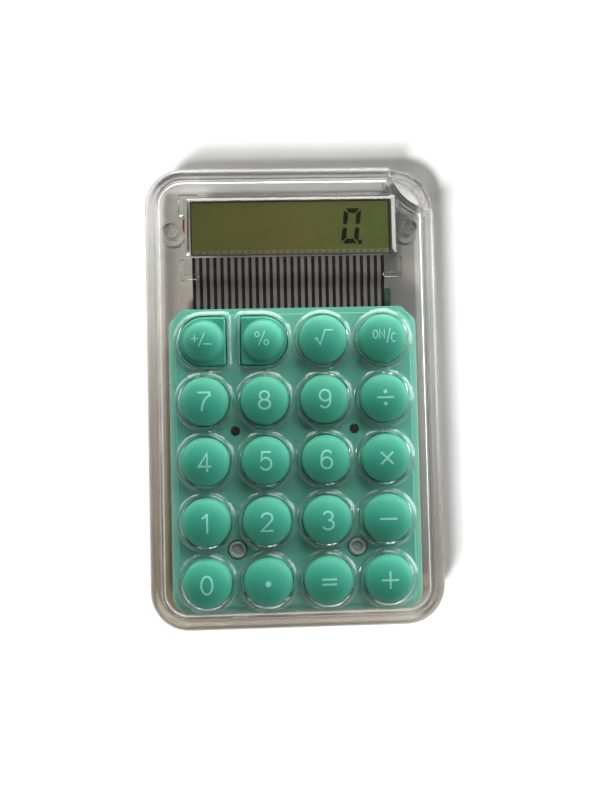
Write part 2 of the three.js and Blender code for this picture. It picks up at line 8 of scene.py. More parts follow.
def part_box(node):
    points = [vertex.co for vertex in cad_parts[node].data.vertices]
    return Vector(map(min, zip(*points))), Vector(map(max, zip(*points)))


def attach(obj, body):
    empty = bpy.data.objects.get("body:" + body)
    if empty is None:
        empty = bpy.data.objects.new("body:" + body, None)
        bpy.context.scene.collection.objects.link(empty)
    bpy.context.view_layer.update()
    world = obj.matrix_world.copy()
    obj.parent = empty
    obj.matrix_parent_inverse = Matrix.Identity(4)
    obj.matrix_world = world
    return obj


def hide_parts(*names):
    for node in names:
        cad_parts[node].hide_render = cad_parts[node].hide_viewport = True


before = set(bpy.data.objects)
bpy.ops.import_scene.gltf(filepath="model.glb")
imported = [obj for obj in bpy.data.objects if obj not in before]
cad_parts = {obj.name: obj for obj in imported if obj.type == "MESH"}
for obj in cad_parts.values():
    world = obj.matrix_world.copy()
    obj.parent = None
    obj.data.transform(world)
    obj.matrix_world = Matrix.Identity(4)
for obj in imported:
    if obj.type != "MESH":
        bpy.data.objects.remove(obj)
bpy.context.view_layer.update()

# Lengths below are in millimetres; add_piece turns each mesh into metres.
MM = 0.001


def box_mm(node):
    low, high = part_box(node)
    return [c / MM for c in low], [c / MM for c in high]


def centre_mm(node):
    low, high = box_mm(node)
    return [(a + b) / 2 for a, b in zip(low, high)]


# ------------------------ places from the frame

COVER_LOW, COVER_HIGH = box_mm("top_shell")
MAT_LOW, MAT_HIGH = box_mm("keypad_mat")
BOARD_LOW, BOARD_HIGH = box_mm("circuit_board")
KEY_LOW, KEY_HIGH = box_mm("key_7")
RIBBON_LOW, RIBBON_HIGH = box_mm("display_ribbon")
FRONT_HIGH = box_mm("lcd_front_glass")[1]
REAR_LOW, REAR_HIGH = box_mm("lcd_rear_glass")
VIEW_LOW, VIEW_HIGH = box_mm("lcd_front_polariser")
DOOR_LOW, DOOR_HIGH = box_mm("battery_door")
CELL_LOW, CELL_HIGH = box_mm("button_cell")

HALF_WIDTH, HALF_LENGTH, PARTING = box_mm("bottom_shell")[1]

# ------------------------ sizes of the moulded case

CASE_CORNER = 9.8
CASE_TOP = 10.4
TRAY_WALL = 2.1
TRAY_FLOOR = 1.6
COVER_WALL = 3.1
RIM = 3.6
PANEL_BOTTOM = VIEW_HIGH[2]
PANEL_TOP = 9.7
NOTCH = (38.5, 59.8)
NOTCH_RADIUS = 12.9
NOTCH_WALL = 1.4
BAR_WIDTH = 2.0
PART_LINE = 0.06         # visible gap between the shells

KEY_RADIUS = 6.2
KEY_SHOULDER = 10.4      # height at which a key's dome begins
KEY_FLAT = 5.75          # from a D key's middle to its straight side
D_RADIUS = 6.05
D_CORNER = 0.75          # radius at the ends of a D key's straight side
D_CORNER_GROWTH = 0.9    # how fast that radius grows with the outline
D_BASE_TOP = 10.2
D_DOME_RADIUS = 5.2
D_DOME_TOP = 12.65
HOLE_RADIUS = 6.5
COLLAR_RADIUS = 7.65
COLLAR_TOP = COVER_HIGH[2]
PILL_POCKET = 2.3
PILL_TOP = box_mm("pill_7")[1][2]

POST_X = centre_mm("pill_6")[0] - centre_mm("pill_5")[0]
PEG_Y = (centre_mm("pill_8")[1] + centre_mm("pill_5")[1]) / 2
BOSS_Y = centre_mm("case_screw_left")[1]
SIDE_PIN = (30.6, 42.9)
PEG_HOLE = 1.2           # radius of the holes that the locating pegs stand in
BOSS_HOLE = 2.5          # radius of the holes in the board and the mat for the screw bosses
BOSS_BORE = 1.15         # radius of the way for a screw's shank
HEAD_RECESS = 2.1        # radius of the recess for its head
GAP = 0.02               # between faces that would otherwise lie on each other

WINDOW = (27.0, 36.0, 51.0)     # half width, front edge, rear edge
WINDOW_TOP = 10.6

KEY_NAMES = ["sign", "percent", "root", "on_clear", "7", "8", "9", "divide", "4", "5", "6", "multiply",
             "1", "2", "3", "minus", "0", "point", "equals", "plus"]
STRAIGHT_SIDE = {"sign": 1, "percent": -1}

# ------------------------ outlines and profiles


def rounded(corners, radii, steps=10):
    """A convex outline with a radius at each corner. It returns the points for an inset."""
    count = len(corners)

    def at(inset):
        lines = []
        for i, (x0, y0) in enumerate(corners):
            x1, y1 = corners[(i + 1) % count]
            length = hypot(x1 - x0, y1 - y0)
            ux, uy = (x1 - x0) / length, (y1 - y0) / length
            lines.append((x0 - uy * inset, y0 + ux * inset, ux, uy))
        points = []
        for i in range(count):
            ax, ay, ux, uy = lines[i - 1]
            bx, by, vx, vy = lines[i]
            cross = ux * vy - uy * vx
            s = ((bx - ax) * vy - (by - ay) * vx) / cross
            px, py = ax + s * ux, ay + s * uy
            turn = atan2(cross, ux * vx + uy * vy)
            radius = max(radii[i] - inset, 0.05)
            reach = radius * tan(turn / 2)
            cx, cy = px - ux * reach - uy * radius, py - uy * reach + ux * radius
            first = atan2(-ux, uy)
            for k in range(steps + 1):
                a = first + turn * k / steps
                points.append((cx + radius * cos(a), cy + radius * sin(a)))
        return points

    return at


def rectangle(x0, y0, x1, y1, radius, steps=10):
    return rounded([(x0, y0), (x1, y0), (x1, y1), (x0, y1)], [radius] * 4, steps)


def circle(cx, cy, radius, count=96):
    def at(inset):
        r = max(radius - inset, 0.01)
        return [(cx + r * cos(2 * pi * k / count), cy + r * sin(2 * pi * k / count))
                for k in range(count)]

    return at


def d_outline(cx, cy, side, radius):
    """A half circle with one straight side, to the right where side is 1."""
    corner = D_CORNER + D_CORNER_GROWTH * (radius - KEY_RADIUS)
    flat = KEY_FLAT + radius - KEY_RADIUS
    x0, x1 = (cx - radius, cx + flat) if side > 0 else (cx - flat, cx + radius)
    left, right = (radius, corner) if side > 0 else (corner, radius)
    corners = [(x0, cy - radius), (x1, cy - radius), (x1, cy + radius), (x0, cy + radius)]
    return rounded(corners, [left, right, right, left], 16)


def key_outline(name, radius):
    cx, cy, _ = centre_mm("pill_" + name)
    side = STRAIGHT_SIDE.get(name, 0)
    if side:
        return d_outline(cx, cy, side, radius)
    return circle(cx, cy, radius)


def path(*points, steps=5):
    """A polyline of (u, v) or (u, v, radius) points whose bends are rounded by their radius."""
    made = []
    for i, point in enumerate(points):
        corner = Vector(point[:2])
        radius = point[2] if len(point) > 2 else 0
        if not radius or i in (0, len(points) - 1):
            made.append(tuple(corner))
            continue
        start = corner + (Vector(points[i - 1][:2]) - corner).normalized() * radius
        end = corner + (Vector(points[i + 1][:2]) - corner).normalized() * radius
        for k in range(steps + 1):
            t = pi / 2 * k / steps
            p = corner + (start - corner) * (1 - sin(t)) + (end - corner) * (1 - cos(t))
            made.append(tuple(p))
    return made


# ------------------------ solids

scene = bpy.context.scene


def make_object(verts, faces, name="solid"):
    mesh = bpy.data.meshes.new(name)
    mesh.from_pydata(verts, [], faces)
    mesh.validate()
    obj = bpy.data.objects.new(name, mesh)
    scene.collection.objects.link(obj)
    return obj


def loft(outline, profile):
    """A closed solid: the outline at each (inset, z) of the profile, bottom first."""
    loops = [[(x, y, z) for x, y in outline(inset)] for inset, z in profile]
    count = len(loops[0])
    verts = [p for loop in loops for p in loop]
    faces = [list(range(count))[::-1]]
    for k in range(len(loops) - 1):
        a, b = k * count, (k + 1) * count
        faces += [(a + i, a + (i + 1) % count, b + (i + 1) % count, b + i) for i in range(count)]
    faces.append([(len(loops) - 1) * count + i for i in range(count)])
    return make_object(verts, faces)


def turned(profile, cx, cy, count=64):
    """A closed solid of revolution about a vertical axis, from (radius, z) points."""
    return loft(circle(cx, cy, 0, count), [(-max(r, 0.01), z) for r, z in profile])


def slab(outline, z0, z1, low=0.0, high=0.0, steps=4):
    """A slab with rounded lower and upper edges."""
    points = [(low, z0), (0, z0, low), (0, z1, high), (high, z1)]
    if not low:
        points = points[1:]
    if not high:
        points = points[:-1]
    return loft(outline, path(*points, steps=steps))


def rod(cx, cy, radius, z0, z1, low=0.0, high=0.0, count=48):
    return slab(circle(cx, cy, radius, count), z0, z1, low, high)


def block(x0, y0, z0, x1, y1, z1, radius=0.05, low=0.0, high=0.0, steps=3):
    outline = rectangle(min(x0, x1), min(y0, y1), max(x0, x1), max(y0, y1), radius, steps)
    return slab(outline, z0, z1, low, high)


def pair(x, y, *sizes):
    """Two rods, at x to the left and right of the middle."""
    return [rod(side * x, y, *sizes) for side in (-1, 1)]


def outward(obj):
    """Turns a closed mesh's faces outwards."""
    made = bmesh.new()
    made.from_mesh(obj.data)
    bmesh.ops.recalc_face_normals(made, faces=made.faces)
    made.to_mesh(obj.data)
    made.free()
    return obj


def square_tube(rings, closed=False):
    """A solid through rings of four points, with flat ends unless it closes on itself."""
    count = len(rings)
    faces = []
    for i in range(count if closed else count - 1):
        a, b = 4 * i, 4 * ((i + 1) % count)
        faces += [(a + k, a + (k + 1) % 4, b + (k + 1) % 4, b + k) for k in range(4)]
    if not closed:
        last = 4 * (count - 1)
        faces += [(3, 2, 1, 0), (last, last + 1, last + 2, last + 3)]
    return outward(make_object([point for ring in rings for point in ring], faces))


def stroke(points, width, z0, z1, closed=False):
    """A flat strip along a path seen from above."""
    count = len(points)
    rings = []
    for i, (x, y) in enumerate(points):
        before = points[i - 1] if i or closed else points[i]
        after = points[(i + 1) % count] if i < count - 1 or closed else points[i]
        a = Vector((x - before[0], y - before[1]))
        b = Vector((after[0] - x, after[1] - y))
        a = a.normalized() if a.length > 1e-9 else b.normalized()
        b = b.normalized() if b.length > 1e-9 else a
        along = (a + b).normalized()
        across = Vector((-along.y, along.x)) * (width / 2 / max(along.dot(a), 0.5))
        rings.append([(x + side * across.x, y + side * across.y, z)
                      for side, z in ((1, z0), (-1, z0), (-1, z1), (1, z1))])
    return square_tube(rings, closed)


def bent_sheet(points, thickness, x0, x1):
    """A sheet along a path of (y, z) points, from x0 to x1."""
    rings = []
    for i, (y, z) in enumerate(points):
        y0, z0 = points[max(i - 1, 0)]
        y1, z1 = points[min(i + 1, len(points) - 1)]
        half = thickness / 2 / hypot(y1 - y0, z1 - z0)
        dy, dz = -(z1 - z0) * half, (y1 - y0) * half
        rings.append([(x, y + s * dy, z + s * dz) for x, s in ((x0, -1), (x1, -1), (x1, 1), (x0, 1))])
    return square_tube(rings)


def apply_modifiers(obj):
    """Puts what the object's modifiers make into its mesh."""
    graph = bpy.context.evaluated_depsgraph_get()
    mesh = bpy.data.meshes.new_from_object(obj.evaluated_get(graph))
    obj.modifiers.clear()
    obj.data = mesh


def boolean(base, operation, others):
    """Joins others to base, cuts them from it, or keeps what they share."""
    for other in others:
        modifier = base.modifiers.new("boolean", "BOOLEAN")
        modifier.operation = operation
        modifier.solver = "MANIFOLD"
        modifier.object = other
        apply_modifiers(base)
        bpy.data.objects.remove(other)
    return base


def join(base, *others):
    return boolean(base, "UNION", others)


def cut(base, *others):
    return boolean(base, "DIFFERENCE", others)


def common(base, *others):
    return boolean(base, "INTERSECT", others)


def join_all(solids):
    return join(solids[0], *solids[1:])


def add_piece(obj, name, material, nodes=(), body="case", sharp=32.0):
    """Names a piece, scales it to metres, smooths its fillets and hands it to the frame."""
    obj.name = name
    obj.data.name = name
    obj.data.transform(Matrix.Scale(MM, 4))
    obj.data.materials.clear()
    obj.data.materials.append(material)
    obj.data.shade_smooth()
    obj.data.set_sharp_from_angle(angle=radians(sharp))
    modifier = obj.modifiers.new("normals", "WEIGHTED_NORMAL")
    modifier.keep_sharp = True
    apply_modifiers(obj)
    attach(obj, body)
    if nodes:
        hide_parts(*nodes)


# ------------------------ materials


class Look:
    """A material's node tree, with short calls for the nodes that the looks below use."""

    def __init__(self, name):
        self.material = bpy.data.materials.new(name)
        self.material.use_nodes = True
        self.tree = self.material.node_tree
        self.shader = self.tree.nodes["Principled BSDF"]
        self.output = self.tree.nodes["Material Output"]
        self.place = self.tree.nodes.new("ShaderNodeTexCoord").outputs["Object"]

    def node(self, kind, **values):
        made = self.tree.nodes.new(kind)
        for key, value in values.items():
            if key in made.inputs:
                made.inputs[key].default_value = value
            else:
                setattr(made, key, value)
        return made

    def wire(self, source, target):
        self.tree.links.new(source, target)

    def math(self, operation, *values):
        """A math node on sockets and plain numbers."""
        made = self.node("ShaderNodeMath", operation=operation)
        for target, value in zip(made.inputs, values):
            if isinstance(value, float):
                target.default_value = value
            else:
                self.wire(value, target)
        return made.outputs[0]

    def mix(self, factor, source, colour, **values):
        """Mixes a plain colour into the source."""
        made = self.node("ShaderNodeMix", data_type="RGBA", **values)
        self.wire(factor, made.inputs[0])
        self.wire(source, made.inputs[6])
        made.inputs[7].default_value = (*colour, 1)
        return made.outputs[2]

    def noise(self, scale, detail=3.0, roughness=0.5, stretch=(1, 1, 1)):
        mapping = self.node("ShaderNodeMapping", Scale=stretch)
        self.wire(self.place, mapping.inputs["Vector"])
        texture = self.node("ShaderNodeTexNoise", Scale=scale, Detail=detail, Roughness=roughness)
        self.wire(mapping.outputs["Vector"], texture.inputs["Vector"])
        return texture.outputs["Fac"]

    def ramp(self, source, *stops):
        """A colour ramp of (place, colour) stops."""
        ramp = self.node("ShaderNodeValToRGB")
        elements = ramp.color_ramp.elements
        while len(elements) > 1:
            elements.remove(elements[-1])
        for i, (place, colour) in enumerate(stops):
            element = elements[0] if i == 0 else elements.new(place)
            element.position = place
            element.color = (*colour, 1.0)
        self.wire(source, ramp.inputs["Fac"])
        return ramp.outputs["Color"]

    def range(self, source, low, high, from_low=0.0, from_high=1.0):
        limits = {"From Min": from_low, "From Max": from_high, "To Min": low, "To Max": high}
        made = self.node("ShaderNodeMapRange", **limits)
        self.wire(source, made.inputs["Value"])
        return made.outputs["Result"]

    def axis(self, index):
        split = self.node("ShaderNodeSeparateXYZ")
        self.wire(self.place, split.inputs["Vector"])
        return split.outputs[index]

    def bump(self, height, strength, distance):
        made = self.node("ShaderNodeBump", Strength=strength, Distance=distance)
        self.wire(height, made.inputs["Height"])
        self.wire(made.outputs["Normal"], self.shader.inputs["Normal"])

    def set(self, **values):
        for key, value in values.items():
            self.shader.inputs[key.replace("_", " ")].default_value = value

    def feed(self, name, source):
        self.wire(source, self.shader.inputs[name])


def srgb(red, green, blue):
    """A colour given in the 0 to 255 steps of a colour chart, as linear light."""
    def linear(c):
        c /= 255
        return c / 12.92 if c <= 0.04045 else ((c + 0.055) / 1.055) ** 2.4
    return (linear(red), linear(green), linear(blue))


RIM_PAINTED_LIGHT = (0.985, 0.99, 0.99)      # painted light: the paler tint that the rim takes towards the case's head and right side
RIM_SHADOW = 0.72                   # how much light passes straight through the case's curved edge
SHADOW_EDGE = 3.2                   # how far in from the case's sides that edge reaches
SOFT_STEP = 0.6                     # width over which a look changes at the rim


def border(look, x, y, width):
    """1 outside the rectangle of half sizes x and y, 0 inside it, with a soft step."""
    return look.math("MAXIMUM", *(
        look.range(look.math("ABSOLUTE", look.axis(index)), 0.0, 1.0, limit * MM, (limit + width) * MM)
        for index, limit in ((0, x), (1, y))))


def painted_light_at_head(look, rim):
    """Where the rim's painted light shows: the rim's factor, full at the head and right side of the case and
    faded out towards its foot and left side.
    """
    slant = look.math("ADD", look.axis(0), look.axis(1))
    return look.math("MULTIPLY", look.range(slant, 0.0, 1.0, -HALF_WIDTH * MM, HALF_WIDTH * MM), rim)


def collars(look):
    """1 on the raised collars round the keys, 0 on the flat panel and round the display."""
    raised = look.range(look.axis(2), 0.0, 1.0, (PANEL_TOP + 0.1) * MM, (PANEL_TOP + 0.5) * MM)
    keypad = look.range(look.axis(1), 1.0, 0.0, MAT_HIGH[1] * MM, (MAT_HIGH[1] + 1) * MM)
    return look.math("MULTIPLY", raised, keypad)


def painted_shade_along_case(look, flow, tints):
    """Painted shade: tints that follow each other from the foot and left side of the case to its head and
    right side, darker and warmer at the foot and left side and darker again at the far head and right side.
    """
    slant = look.math("MULTIPLY_ADD", look.axis(0), 0.6, look.axis(1))
    height = look.range(slant, -0.06, 0.94, -0.075, 0.075)
    mixed = look.math("MULTIPLY_ADD", flow, 0.12, height)
    return look.ramp(mixed, *((k / (len(tints) - 1), tint) for k, tint in enumerate(tints)))


def clear_plastic(name, tints, rough, rim_rough=0.0, collar_rough=0.0):
    """Clear moulded plastic, with faint flow marks in its tint, gloss and surface. Lamps shine through it.
    Its rim can be duller from handling, and its collars softly textured; a duller rim is also painted lighter
    towards the head and right side of the case, as painted light. The flow marks mix two tints, and more than
    two follow each other along the case as painted shade, darker and warmer towards its foot and left side."""
    look = Look(name)
    flow = look.noise(60.0, 4.0, 0.6, (1, 0.35, 1))
    if len(tints) > 2:
        # painted shade: with more than two tints the plastic darkens along the case towards its foot, left
        # side and far head
        tint = painted_shade_along_case(look, flow, tints)
    else:
        tint = look.ramp(flow, (0.35, tints[0]), (0.65, tints[1]))
    polish = look.range(look.noise(220.0), rough * 0.6, rough * 1.6, 0.3, 0.7)
    seen = through = tint
    if rim_rough:
        rim = border(look, HALF_WIDTH - RIM - 0.7, HALF_LENGTH - RIM - 0.7, SOFT_STEP)
        # painted light: towards the head and right side of the case the rim's tint goes paler
        seen = look.mix(painted_light_at_head(look, rim), tint, RIM_PAINTED_LIGHT)
        polish = look.math("MULTIPLY_ADD", rim, rim_rough, polish)
        curved = border(look, HALF_WIDTH - SHADOW_EDGE, HALF_LENGTH - SHADOW_EDGE, SOFT_STEP)
        through = look.mix(curved, tint, [RIM_SHADOW] * 3, blend_type="MULTIPLY")
    if collar_rough:
        polish = look.math("MAXIMUM", polish, look.math("MULTIPLY", collars(look), collar_rough))
    look.feed("Base Color", seen)
    look.feed("Roughness", polish)
    look.set(Transmission_Weight=1.0, IOR=1.55)
    look.bump(look.noise(140.0, 2.0), 0.05, 0.0004)
    rays = look.node("ShaderNodeLightPath")
    passing = look.node("ShaderNodeBsdfTransparent")
    look.wire(through, passing.inputs["Color"])
    mix = look.node("ShaderNodeMixShader")
    sources = (rays.outputs["Is Shadow Ray"], look.shader.outputs[0], passing.outputs[0])
    for source, target in zip(sources, mix.inputs):
        look.wire(source, target)
    look.wire(mix.outputs[0], look.output.inputs["Surface"])
    return look.material


def silicone_surface(look, rough, grain, subsurface, sheen=0.0):
    """Soft and matt, with a fine moulded grain."""
    look.feed("Roughness", look.range(look.noise(1500.0, 2.0), rough - 0.06, rough + 0.06, 0.3, 0.7))
    look.set(Subsurface_Weight=subsurface, Subsurface_Radius=(0.35, 1.0, 0.8), Subsurface_Scale=0.0012,
             Sheen_Weight=sheen, Sheen_Roughness=0.5)
    look.bump(look.noise(grain, 3.0, 0.6), 0.12, 0.00006)
    return look.material


def silicone(name, low, high, rough, grain, subsurface):
    look = Look(name)
    look.feed("Base Color", look.ramp(look.noise(90.0, 3.0), (0.3, low), (0.7, high)))
    return silicone_surface(look, rough, grain, subsurface, 0.05)


def mat_silicone():
    """The keys' silicone as a sheet, painted paler towards its sides and its front and rear ends as painted
    light.
    """
    look = Look("mat_mint")
    # painted light: the sheet is paler towards its edges
    pale = border(look, MAT_HIGH[0] - 1.9, -MAT_LOW[1] - 4.2, 1.0)
    both = look.math("MULTIPLY_ADD", look.noise(90.0, 3.0), 0.4, look.range(pale, 0.0, 0.7))
    look.feed("Base Color", look.ramp(both, (0.1, (0.12, 0.46, 0.36)), (0.3, (0.13, 0.49, 0.385)),
                                      (1.0, (0.26, 0.60, 0.49))))
    return silicone_surface(look, 0.6, 3000.0, 0.3)


def plain_noise(name, low, high, rough, scale, metallic=0.0, strength=0.1, stretch=(1, 1, 1), shine=0.5):
    """A solid material whose colour, roughness and surface vary with one grain."""
    look = Look(name)
    grain = look.noise(scale, 4.0, 0.6, stretch)
    look.feed("Base Color", look.ramp(grain, (0.3, low), (0.7, high)))
    look.feed("Roughness", look.range(grain, rough - 0.08, rough + 0.08, 0.3, 0.7))
    look.set(Metallic=metallic, Specular_IOR_Level=shine)
    look.bump(grain, strength, 0.00005)
    return look.material


CLEAR_FRONT = clear_plastic("clear_front", ((0.87, 0.875, 0.87), (0.91, 0.91, 0.905)), 0.03, 0.22, 0.2)
# painted shade: the rear shell's tints darken and warm towards the case's foot and left side, and darken
# again at its head's right
CLEAR_BACK = clear_plastic("clear_back", ((0.60, 0.55, 0.46), (0.74, 0.70, 0.655), (0.80, 0.79, 0.765),
                                          (0.50, 0.50, 0.495)), 0.06, 0.12)
FROSTED = plain_noise("frosted_boss", (0.38, 0.47, 0.43), (0.46, 0.55, 0.51), 0.25, 900.0)
GLASS = clear_plastic("display_glass", ((0.94, 0.96, 0.94), (0.98, 0.99, 0.98)), 0.01)
KEY_MINT = silicone("key_mint", (0.028, 0.325, 0.220), (0.034, 0.355, 0.242), 0.55, 5200.0, 0.1)
LEGEND = silicone("legend_ink", (0.25, 0.66, 0.54), (0.29, 0.72, 0.60), 0.5, 6000.0, 0.0)
MAT_MINT = mat_silicone()
CARBON = plain_noise("carbon_rubber", (0.008, 0.008, 0.008), (0.02, 0.02, 0.02), 0.7, 900.0, shine=0.3)
RESIN = plain_noise("potting_resin", (0.006, 0.006, 0.007), (0.016, 0.016, 0.017), 0.25, 400.0)
CERAMIC = plain_noise("capacitor_ceramic", (0.30, 0.19, 0.09), (0.36, 0.24, 0.12), 0.5, 700.0)
STEEL = plain_noise("plated_steel", (0.52, 0.53, 0.54), (0.62, 0.62, 0.63), 0.28, 500.0, 1.0, 0.15,
                    (1, 12, 1))
SEAL = plain_noise("end_seal_resin", (0.16, 0.008, 0.02), (0.24, 0.012, 0.03), 0.3, 900.0)
FILM_GREY = plain_noise("ribbon_film", srgb(104, 100, 95), srgb(116, 112, 106), 0.5, 250.0)
STRIPE = plain_noise("ribbon_carbon", srgb(14, 13, 11), srgb(26, 24, 20), 0.6, 600.0, shine=0.15)
SEGMENT = plain_noise("display_segment", (0.004, 0.005, 0.003), (0.008, 0.009, 0.006), 0.4, 900.0, shine=0.15)
REFLECTOR = plain_noise("display_reflector", (0.30, 0.30, 0.22), (0.36, 0.36, 0.27), 0.4, 800.0)


def olive_film():
    """The display's reflective film: olive, warmer in the middle, with a fine pearl grain."""
    look = Look("display_film")
    across = look.range(look.axis(0), -0.05, 0.3, VIEW_LOW[0] * MM, VIEW_HIGH[0] * MM)
    both = look.math("MULTIPLY_ADD", look.noise(26.0, 2.0), 0.55, across)
    look.feed("Base Color", look.ramp(both, (0.15, srgb(70, 76, 28)), (0.4, srgb(84, 82, 32)),
                                      (0.65, srgb(78, 88, 30))))
    look.feed("Roughness", look.range(look.noise(2500.0), 0.32, 0.44, 0.3, 0.7))
    look.bump(look.noise(4000.0), 0.05, 0.00003)
    return look.material


def board_green():
    """Solder mask over copper tracks."""
    look = Look("board_mask")
    cells = look.node("ShaderNodeTexVoronoi", feature="DISTANCE_TO_EDGE", distance="MANHATTAN", Scale=420.0)
    look.wire(look.place, cells.inputs["Vector"])
    tracks = look.range(cells.outputs["Distance"], 1.0, 0.0, 0.02, 0.09)
    look.feed("Base Color", look.ramp(tracks, (0.0, (0.012, 0.035, 0.02)), (1.0, (0.03, 0.10, 0.05))))
    look.feed("Roughness", look.range(look.noise(500.0), 0.35, 0.5, 0.3, 0.7))
    look.bump(tracks, 0.3, 0.00004)
    return look.material


FILM = olive_film()
BOARD = board_green()

# ------------------------ case


def case_outline(inset=0.0):
    return rectangle(-HALF_WIDTH + inset, -HALF_LENGTH + inset, HALF_WIDTH - inset, HALF_LENGTH - inset,
                     CASE_CORNER - inset, 14)


def notch_rod(extra, z0, z1):
    return rod(*NOTCH, NOTCH_RADIUS + extra, z0, z1, count=160)


def inner_solid(inset, points):
    """A solid that follows the case's outline and keeps a wall's width clear of the lanyard notch."""
    return cut(loft(case_outline(inset), points), notch_rod(NOTCH_WALL, -5, 20))


def collar_ring(name):
    """The raised ring round a key: a low wall, and a rounded slope up to the rim of the key's hole."""
    steep, gentle, steps = radians(41), radians(28), 8
    crest, top = COLLAR_RADIUS - HOLE_RADIUS - 0.1, COLLAR_TOP - 0.03
    bend = crest / (sin(steep) - sin(gentle))
    points = [(-0.1, PANEL_BOTTOM + 0.3), (-0.1, PANEL_TOP), (-0.03, PANEL_TOP + 0.06)]
    for k in range(steps + 1):
        a = steep + (gentle - steep) * k / steps
        points.append((bend * (sin(steep) - sin(a)), top - bend * (cos(gentle) - cos(a))))
    points.append((crest + 0.3, top))
    return loft(key_outline(name, COLLAR_RADIUS), points)


def key_hole(name):
    """The hole a key moves in, with its mouth rounded over."""
    points = [(0, PANEL_BOTTOM - 1), (0, COLLAR_TOP - 0.14), (-0.03, COLLAR_TOP - 0.07),
              (-0.1, COLLAR_TOP - 0.02), (-0.12, COLLAR_TOP + 1)]
    return loft(key_outline(name, HOLE_RADIUS), points)


def window_plateau():
    """The raised display window with its mitred bevels."""
    half, front, rear = WINDOW
    corners = [(-half, front), (half, front), (half, rear), (-half, rear)]
    outline = rounded(corners, [0.12] * 4, 2)
    return loft(outline, [(0, PANEL_BOTTOM + 0.3), (0, PANEL_TOP + 0.12), (1.05, WINDOW_TOP - 0.03),
                          (1.15, WINDOW_TOP)])


RIB = 1.3                # thickness of the ribs round the display's glass


def glass_rib(sx, y, sy):
    """One L-shaped locating rib at a corner of the display's glass."""
    inner = FRONT_HIGH[0] + 0.2
    outer = inner + RIB
    deep = 6.2
    low = 7.8 if sy < 0 else deep
    top = PANEL_BOTTOM + 0.2
    across = block(sx * (inner - 3.7), y, low, sx * outer, y + sy * RIB, top, 0.5, 0.2)
    down = block(sx * inner, y + sy * RIB, deep, sx * outer, y - sy * 4.1, top, 0.5, 0.2)
    return join(across, down)


def front_shell():
    shell = loft(case_outline(), path(
        (0.02, PARTING + PART_LINE), (0.0, PARTING + 0.4), (0.0, CASE_TOP, 1.9), (RIM - 0.45, CASE_TOP, 0.35),
        (RIM, PANEL_TOP, 0.25), (RIM + 0.5, PANEL_TOP), steps=7))
    lip = inner_solid(TRAY_WALL + 0.3, [(0, COVER_LOW[2] + 3.4), (0, PARTING + 0.5)])
    join(shell, lip)
    cut(shell, inner_solid(COVER_WALL, path((0, PARTING - 3), (0, PANEL_BOTTOM, 0.8), (0.9, PANEL_BOTTOM))))
    top = PANEL_BOTTOM + 0.2
    parts = [window_plateau()]
    parts += [glass_rib(sx, y, sy) for sx in (-1, 1)
              for y, sy in ((REAR_LOW[1] - 0.2, -1), (REAR_HIGH[1] + 0.2, 1))]
    parts += pair(POST_X, PEG_Y, 0.85, BOARD_LOW[2], top, 0.2)
    parts += pair(*SIDE_PIN, 1.95, 4.9, top, 0.1)
    parts += pair(*SIDE_PIN, 1.45, 2.6, top, 0.3)
    parts += [collar_ring(name) for name in KEY_NAMES]
    join(shell, *parts)
    mouth = path((0, -5), (0, CASE_TOP, 0.7), (-1.2, CASE_TOP + 0.01), (-1.3, CASE_TOP + 3))
    return cut(shell, *[key_hole(name) for name in KEY_NAMES], loft(circle(*NOTCH, NOTCH_RADIUS, 160), mouth))


def screw_boss(side):
    """The hollow boss that a case screw bites into; its moulded end is frosted."""
    top = PANEL_BOTTOM - 0.04
    points = [(0.02, 3.2), (2.0, 3.2), (2.2, 3.4), (2.2, top - 0.3), (2.1, top - 0.1), (1.85, top),
              (1.6, top), (1.4, top - 0.15), (1.3, top - 0.6), (0.5, top - 0.5), (0.02, top - 0.4)]
    boss = turned(points, side * POST_X, BOSS_Y)
    return cut(boss, rod(side * POST_X, BOSS_Y, BOSS_BORE, 2, top - 1.2, 0, 0.4))


BLOCK = (12.2, -36.0, -12.6, 4.95)     # the cell's housing: half width, front, rear, top
REST = (28, (18, -50))   # x and the two y of the posts under the board
SCREW_HEAD = 1.6
SCREW_SHANK = 0.8
DOOR_SCREW_Y = centre_mm("battery_door_screw")[1]
HINGE_Y = DOOR_LOW[1] + 0.9
TAB_X = 5.4
TAB_WIDTH = 2.6
CELL_Y = centre_mm("button_cell")[1]
CELL_RADIUS = (CELL_HIGH[0] - CELL_LOW[0]) / 2
ROOM = 0.3               # round the cell, the door and its tabs


def cell_cuts():
    """The cell's well, and the recess, slots and screw way of its door."""
    door_x = DOOR_HIGH[0] + ROOM
    recess = block(-door_x, HINGE_Y - 0.6, -1, door_x, DOOR_HIGH[1] + ROOM, 1.5, 1.0)
    well = rod(0, CELL_Y, CELL_RADIUS + ROOM, 0.5, 7, count=96)
    x0, x1 = TAB_X - ROOM, TAB_X + TAB_WIDTH + ROOM
    slots = [block(s * x0, HINGE_Y - 1.6, 1.0, s * x1, HINGE_Y + 2.0, 2.7, 0.1) for s in (-1, 1)]
    boss = rod(0, DOOR_SCREW_Y, 2.75, 1, 2.6)
    way = rod(0, DOOR_SCREW_Y, SCREW_SHANK + 0.55, 1, 7)
    side = block(CELL_RADIUS - 0.8, CELL_Y - 1.9, 1.0, CELL_RADIUS + 1.5, CELL_Y + 1.9, 7, 0.1)
    return [recess, well, *slots, boss, way, side]


